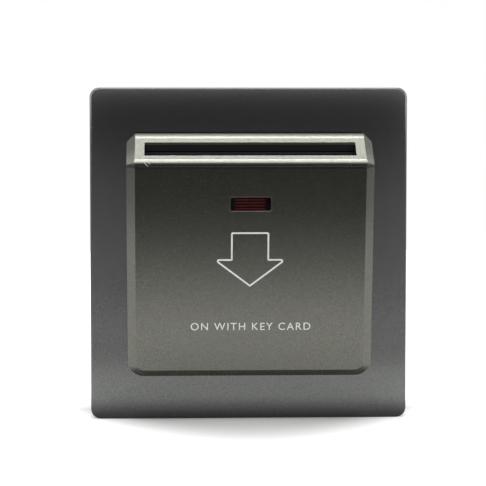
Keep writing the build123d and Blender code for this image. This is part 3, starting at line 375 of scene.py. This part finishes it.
def behind_housing(made):
    """1 on the housing's inner surfaces and inside the slot and the lens window."""
    x, z = made.absolute(made.axis("X")), made.axis("Z")
    facet = made.times(made.distance(EDGE, FACET_OUT), -1.0)
    face = made.times(made.distance(EDGE, FACE_OUT), -1.0)
    top = made.math("SUBTRACT", HOUSING_TOP * MM, z)
    side = made.math("SUBTRACT", HOUSING_HALF_WIDTH * MM, x)
    foot = made.math("SUBTRACT", z, HOUSING_FOOT * MM)
    front = made.least(face, facet, top)
    inner_surfaces = made.rise(made.least(front, side, foot), 1.45, 1.7)
    near_openings = made.times(
        made.math("LESS_THAN", x, OPENINGS_HALF_WIDTH * MM),
        made.math("GREATER_THAN", z, OPENINGS_FOOT * MM),
    )
    openings = made.times(made.rise(front, 0.36, 0.46), near_openings)
    window = made.times(made.fall(from_lens(made), 0.3, 0.4), made.rise(face, 0.01, 0.03))
    return made.most(inner_surfaces, openings, window)


def painted_highlight_round_window(made):
    """A painted highlight: a bright line round the lens window's edge, strongest along its top."""
    away = from_lens(made)
    line = made.times(made.rise(away, 0.1, 0.14), made.fall(away, 0.3, 0.4))
    up = made.distance(LENS_CENTRE, FACE_UP)
    return made.times(line, made.ramp(up, 1.4 * MM, 1.8 * MM, 0.35, 1.0))


def painted_shade_under_edge(made):
    """Painted shade just under the edge between the facet and the sloped face."""
    below, strength = 1.3, 0.65
    away = made.absolute(made.plus(made.distance(EDGE, FACE_UP), below * MM))
    return made.ramp(away, 0.2 * MM, 0.7 * MM, strength, 0.0)


def scuffs(made):
    """Two short scratches side by side, just under the facet."""
    centre_x, centre_z, aside, slant = -27.3, 24.7, 0.4, 0.707
    x = made.math("SUBTRACT", made.axis("X"), centre_x * MM)
    z = made.math("SUBTRACT", made.axis("Z"), centre_z * MM)
    across = made.absolute(made.times(made.plus(x, z), slant))
    along = made.absolute(made.times(made.math("SUBTRACT", x, z), slant))
    from_scratch = made.absolute(made.math("SUBTRACT", across, aside * MM))
    return made.times(made.fall(from_scratch, 0.06, 0.15), made.fall(along, 0.5, 0.8))


frame_paint = graphite(
    "graphite_paint_frame", behind_frame,
    pale=(0.311, 0.318, 0.309), dark=(0.192, 0.199, 0.195),
    # Painted shade on the frame's top edge and towards its foot
    marks=[(painted_shade_on_frame_rim, (0.03, 0.03, 0.03), 1.0)],
    crown=frame_crown,
)
housing_paint = graphite(
    "graphite_paint_housing", behind_housing,
    pale=(0.28, 0.281, 0.247), dark=(0.17, 0.171, 0.15),
    marks=[
        # Painted highlight round the lens window
        (painted_highlight_round_window, (0.55, 0.46, 0.41), 1.0),
        # Painted shade under the edge between the facet and the sloped face
        (painted_shade_under_edge, (0.06, 0.06, 0.053), 1.0),
        (scuffs, (0.42, 0.42, 0.39), 0.0),
    ],
    crown=housing_crown,
)


# Materials of single pieces

def red_lens():
    """Ribbed red lens, dark wine: painted highlight on the ribs, painted shade past their ends and
    at the rim.
    """
    ribs, rim, ribs_left = 4, 0.15, 0.2
    made = Finish("red_lens", IOR=1.49, Coat_Weight=0.2, Coat_Roughness=0.1)
    up = made.distance(LENS_CENTRE, FACE_UP)
    pitch = 2 * (LENS_HALF_HEIGHT - rim) / ribs
    rib = made.math("FRACT", made.math("DIVIDE", up, pitch * MM))
    rib = made.absolute(made.math("SUBTRACT", rib, 0.5))
    x = made.absolute(made.plus(made.axis("X"), ribs_left * MM))
    # Painted shade past the ribs' ends and at the rim
    ends = made.most(made.rise(x, 3.5, 4.5), made.rise(made.absolute(up), 1.45, 1.6))
    cloud = made.noise(scale=700.0, detail=3.0)
    red = made.mix(made.ramp(cloud, 0.3, 0.7), (0.03, 0.003, 0.003), (0.042, 0.0045, 0.0042))
    # Painted highlight: a paler line along each rib
    red = made.mix(made.ramp(rib, 0.06, 0.3), (0.06, 0.011, 0.0095), red)
    made.feed("Base Color", made.mix(ends, red, (0.004, 0.001, 0.001)))
    made.feed("Roughness", made.ramp(cloud, 0.3, 0.7, 0.16, 0.24))
    made.bump(made.noise(scale=3000.0), strength=0.1, distance=0.01 * MM)
    return made


def banded_resistor():
    """A fired resistor body with four painted rings across its length, placed in mm."""
    rings = (
        (-1.8, (0.35, 0.16, 0.03)),
        (-0.8, (0.3, 0.04, 0.3)),
        (0.2, (0.6, 0.4, 0.02)),
        (1.8, (0.5, 0.33, 0.08)),
    )
    made = Finish("resistor_body", Coat_Weight=0.4, Coat_Roughness=0.2)
    low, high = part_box("lamp_resistor")
    size = high - low
    longest = max(range(3), key=lambda i: size[i])
    along = made.axis("XYZ"[longest])
    middle = (low[longest] + high[longest]) / 2
    speckle = made.noise(scale=6000.0)
    colour = made.mix(made.ramp(speckle, 0.3, 0.7), (0.62, 0.48, 0.3), (0.72, 0.58, 0.4))
    for offset, ring in rings:
        away = made.absolute(made.math("SUBTRACT", along, middle + offset * MM))
        colour = made.mix(made.fall(away, 0.22, 0.3), colour, ring)
    made.feed("Base Color", colour)
    made.feed("Roughness", made.ramp(speckle, 0.3, 0.7, 0.3, 0.42))
    return made


grey_abs = moulded("grey_abs", (0.33, 0.34, 0.34), 0.5, 0.04)
switch_resin = moulded("switch_resin", (0.02, 0.02, 0.022), 0.4)
steel = drawn_metal("zinc_plated_steel", (0.62, 0.62, 0.6), 0.28)
silver = drawn_metal("silvered_brass", (0.75, 0.74, 0.7), 0.26, along=(1, 0.15, 1))
brass = drawn_metal("turned_brass", (0.78, 0.57, 0.27), 0.27)
brown_pvc = insulation("brown_pvc", (0.16, 0.065, 0.025))
blue_pvc = insulation("blue_pvc", (0.025, 0.09, 0.42))

FINISHES = {
    "face_frame": frame_paint,
    "card_housing": housing_paint,
    "indicator_lens": red_lens(),
    "card_guide": moulded("black_abs", (0.016, 0.016, 0.017), Specular_IOR_Level=0.25),
    "card_lever": moulded("lever_nylon", (0.03, 0.03, 0.032), 0.36),
    "lever_pin": steel,
    "lever_spring": drawn_metal("spring_steel", (0.5, 0.5, 0.49), 0.24),
    "lamp_holder": moulded("white_nylon", (0.72, 0.71, 0.67), 0.42, 0.05),
    "neon_lamp_glass": clear_glass(),
    "neon_lamp_electrodes": drawn_metal("nickel", (0.66, 0.62, 0.56), 0.25),
    "lamp_resistor": banded_resistor(),
    "wire_lamp_live": brown_pvc,
    "wire_live": brown_pvc,
    "wire_lamp_to_resistor": blue_pvc,
    "wire_resistor_to_neutral": blue_pvc,
    "wire_load": insulation("red_pvc", (0.5, 0.02, 0.018)),
    "mounting_base": grey_abs,
    "rear_housing": grey_abs,
    "microswitch_case": switch_resin,
    "microswitch_cover": switch_resin,
    "microswitch_plunger": moulded("red_nylon", (0.42, 0.03, 0.025), 0.35, 0.1),
    "microswitch_screws": steel,
    "microswitch_nuts": steel,
    "contact_blade": drawn_metal("beryllium_copper", (0.8, 0.45, 0.3), 0.24, along=(0.15, 1, 1)),
    "common_terminal": silver,
    "normally_open_terminal": silver,
    "normally_closed_terminal": silver,
    "push_on_receptacles": brass,
    "live_terminal_block": brass,
    "neutral_terminal_block": brass,
    "load_terminal_block": brass,
    "terminal_screws": steel,
    "assembly_screws": steel,
}


def paint_node(node, finish):
    for place in node.material_slots:
        place.material = finish.material
    if not node.material_slots:
        node.data.materials.append(finish.material)


for name, finish in FINISHES.items():
    paint_node(nodes[name], finish)


# The return spring, as a piece of its own

def twisting_spring():
    """The spring copied as a piece of its own, with the lever_spring node hidden."""
    node = nodes["lever_spring"]
    made = bpy.data.objects.new("return_spring", node.data.copy())
    bpy.context.scene.collection.objects.link(made)
    made.matrix_world = node.matrix_world.copy()
    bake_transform(made)
    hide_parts("lever_spring")


twisting_spring()


# Print on the sloped face and on the back, in mm

INK_BELOW, INK_ABOVE = -0.02, 0.03
TEXT_HALF_THICKNESS = 0.015
ARROW_CENTRE, ARROW_LINE = -0.12, 0.44
# Each corner is x, z and the radius of its rounding
ARROW = [
    (-4.85, 6.2, 0.3), (4.85, 6.2, 0.3), (4.85, -1.0, 0.05), (9.3, -1.0, 0.35),
    (0.0, -8.0, 0.25), (-9.3, -1.0, 0.35), (-4.85, -1.0, 0.05),
]
WORDS_X, WORDS_Z, WORDS_WIDTH, WORDS_CAPITAL = 0.15, -19.2, 32.1, 2.0
CAPITAL_SHARE = 0.69
LETTER_SIZE, LETTERS_DOWN = 3.2, 16.0
ink = white_ink()


def on_face(x, z, proud):
    """The point of the sloped face at a place seen from the front, a little proud of it."""
    down = (EDGE_Z - z) / math.cos(LEAN)
    return (EDGE - FACE_UP * down + FACE_OUT * proud + Vector((x, 0, 0))) * MM


def rounded(corners, steps=6):
    """A closed outline with an arc at each corner."""
    outline = []
    for i, (x, z, radius) in enumerate(corners):
        here = Vector((x, z))
        before = (Vector(corners[i - 1][:2]) - here).normalized()
        after = (Vector(corners[(i + 1) % len(corners)][:2]) - here).normalized()
        half = before.angle(after) / 2
        run = radius / math.tan(half)
        centre = here + (before + after).normalized() * (radius / math.sin(half))
        start = here + before * run - centre
        turn = start.angle_signed(here + after * run - centre)
        for step in range(steps + 1):
            spoke = start.copy()
            spoke.rotate(Matrix.Rotation(-turn * step / steps, 2))
            outline.append(centre + spoke)
    return outline


def ribbon(name, outline, width):
    """A printed line: a flat closed band along an outline on the sloped face."""
    count = len(outline)
    section = ((-1, INK_BELOW), (1, INK_BELOW), (1, INK_ABOVE), (-1, INK_ABOVE))
    verts, faces = [], []
    for i, here in enumerate(outline):
        along = (outline[(i + 1) % count] - outline[i - 1]).normalized()
        aside = Vector((along.y, -along.x)) * (width / 2)
        for side, proud in section:
            verts.append(on_face(*(here + aside * side), proud))
    for i in range(count):
        a, b = 4 * i, 4 * ((i + 1) % count)
        for j in range(4):
            k = (j + 1) % 4
            faces.append((a + j, a + k, b + k, b + j))
    mesh = bpy.data.meshes.new(name)
    mesh.from_pydata(verts, [], faces)
    mesh.materials.append(ink.material)
    made = bpy.data.objects.new(name, mesh)
    bpy.context.scene.collection.objects.link(made)
    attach(made, "switch_body")


def lettering(name, words, size):
    """Printed words as a text object, still to be put in place."""
    data = bpy.data.curves.new(name, "FONT")
    data.body = words
    data.align_x = "CENTER"
    data.size = size * MM
    data.extrude = TEXT_HALF_THICKNESS * MM
    data.materials.append(ink.material)
    made = bpy.data.objects.new(name, data)
    bpy.context.scene.collection.objects.link(made)
    return made


def printed_line(name, words):
    """One line of capitals on the sloped face, with its letters spaced to fill a width."""
    proud = 0.01
    made = lettering(name, words, WORDS_CAPITAL / CAPITAL_SHARE)
    made.data.align_y = "CENTER"
    made.location = on_face(WORDS_X, WORDS_Z, proud)
    made.rotation_euler = (math.pi / 2 + LEAN, 0, 0)
    widths = []
    for spacing in (1.0, 1.5):
        made.data.space_character = spacing
        bpy.context.view_layer.update()
        widths.append(made.dimensions.x)
    plain, wide = widths
    made.data.space_character = 1.0 + 0.5 * (WORDS_WIDTH * MM - plain) / (wide - plain)
    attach(made, "switch_body")


def terminal_letter(name, letters, node):
    """A terminal's letters in the field on the back, in line with its terminal block."""
    low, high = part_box(node)
    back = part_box("rear_housing")[1]
    made = lettering(name, letters, LETTER_SIZE)
    made.location = (
        (low.x + high.x) / 2,
        back.y - LABEL_FIELD_DEPTH * MM,
        back.z - (LABEL_FIELD_TOP + LETTERS_DOWN) * MM,
    )
    made.rotation_euler = (math.pi / 2, 0, math.pi)
    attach(made, "switch_body")


ribbon("printed_arrow", rounded([(x + ARROW_CENTRE, z, r) for x, z, r in ARROW]), ARROW_LINE)
printed_line("printed_words", "ON WITH KEY CARD")
terminal_letter("letter_live", "L", "live_terminal_block")
terminal_letter("letter_neutral", "N", "neutral_terminal_block")
terminal_letter("letter_load", "L1", "load_terminal_block")


# Floor, world and light, in metres and watts

FLOOR_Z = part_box("face_frame")[0].z
FLOOR_HALF_WIDTH, FLOOR_FRONT, FLOOR_BACK = 0.3, -0.155, 0.7
FLOOR_PALE_FROM = -0.065
SHADOW_Y, SHADOW_NARROWING, SHADOW_CORE, SHADOW_END = 0.01, 22.0, 0.03, 0.085


def make_floor():
    """A pale sheet under the object, dark at its front edge so that the object's front stays dim.

    To the camera it turns white away from the object, and the shadow near it stays."""
    left, right = -FLOOR_HALF_WIDTH, FLOOR_HALF_WIDTH
    corners = [(left, FLOOR_FRONT), (right, FLOOR_FRONT), (right, FLOOR_BACK), (left, FLOOR_BACK)]
    mesh = bpy.data.meshes.new("floor")
    mesh.from_pydata([(x, y, FLOOR_Z) for x, y in corners], [], [(0, 1, 2, 3)])
    floor = bpy.data.objects.new("floor", mesh)
    bpy.context.scene.collection.objects.link(floor)
    made = Finish("pale_floor", Specular_IOR_Level=0.1)
    mottle = made.noise(scale=30.0)
    pale = made.mix(mottle, (0.57, 0.57, 0.565), (0.545, 0.545, 0.54))
    inward = made.ramp(made.axis("Y"), FLOOR_FRONT, FLOOR_PALE_FROM)
    made.feed("Base Color", made.mix(inward, (0.09, 0.09, 0.09), pale))
    made.feed("Roughness", made.ramp(mottle, 0.3, 0.7, 0.75, 0.85))
    made.shader.inputs["Emission Color"].default_value = (1, 1, 1, 1)
    aside = made.times(made.axis("X"), made.axis("X"))
    away = made.absolute(made.plus(made.axis("Y"), -SHADOW_Y))
    away = made.math("MULTIPLY_ADD", aside, SHADOW_NARROWING, away)
    seen = made.node("ShaderNodeLightPath").outputs["Is Camera Ray"]
    made.feed("Emission Strength", made.times(seen, made.ramp(away, SHADOW_CORE, SHADOW_END)))
    mesh.materials.append(made.material)


def make_world():
    """Dim surroundings: a low strip of light, a paler top and pale sides.

    The camera sees them white, and so do reflections and glass that look past the object."""
    world = bpy.data.worlds.new("surroundings")
    bpy.context.scene.world = world
    world.use_nodes = True
    made = Nodes(world.node_tree)
    x, y, z = made.separate(made.node("ShaderNodeTexCoord").outputs["Generated"])
    aside = made.absolute(x)
    strip = made.times(made.ramp(z, -0.2, -0.14), made.ramp(z, -0.11, -0.06, 1.0, 0.0))
    strip = made.times(strip, made.ramp(aside, 0.4, 0.8, 0.9, 0.25))
    front = made.plus(strip, made.ramp(z, -0.1, 0.5, 0.004, 0.07))
    above = made.ramp(z, 0.25, 0.9, 0.0, 0.25)
    sides = made.times(made.ramp(aside, 0.1, 0.9, 0.0, 0.17), made.ramp(z, -0.3, 0.1, 0.6, 1.0))
    ambient = made.plus(above, sides, front)
    rays = made.node("ShaderNodeLightPath").outputs
    reflected = made.most(rays["Is Glossy Ray"], rays["Is Transmission Ray"])
    backdrop = made.times(reflected, made.ramp(y, 0.05, 0.35))
    ground = world.node_tree.nodes["Background"]
    ground.inputs["Color"].default_value = (1, 1, 1, 1)
    made.put(ground.inputs["Strength"], made.most(ambient, rays["Is Camera Ray"], backdrop))


def make_light(name, location, rotation, size, power):
    """A rectangular lamp, turned by degrees from pointing straight down."""
    data = bpy.data.lights.new(name, "AREA")
    data.shape = "RECTANGLE"
    data.size, data.size_y = size
    data.energy = power
    light = bpy.data.objects.new(name, data)
    light.location = location
    light.rotation_euler = [math.radians(a) for a in rotation]
    bpy.context.scene.collection.objects.link(light)


make_floor()
make_world()
make_light("overhead_front", (0.0, -0.113, 0.75), (0, 0, 0), (0.6, 0.27), 2.55)
make_light("overhead_back", (0.0, 0.395, 0.75), (0, 0, 0), (0.6, 0.36), 4.7)
make_light("upper_front", (0.0, -0.35, 0.67), (27, 0, 0), (0.7, 0.22), 1.4)
make_light("low_front", (0.0, -0.494, 0.568), (41, 0, 0), (0.8, 0.2), 0.95)
make_light("front_left", (-0.5, -0.45, 0.28), (70, 0, -48), (0.4, 0.4), 1.05)
make_light("front_right", (0.5, -0.45, 0.28), (70, 0, 48), (0.4, 0.4), 1.05)
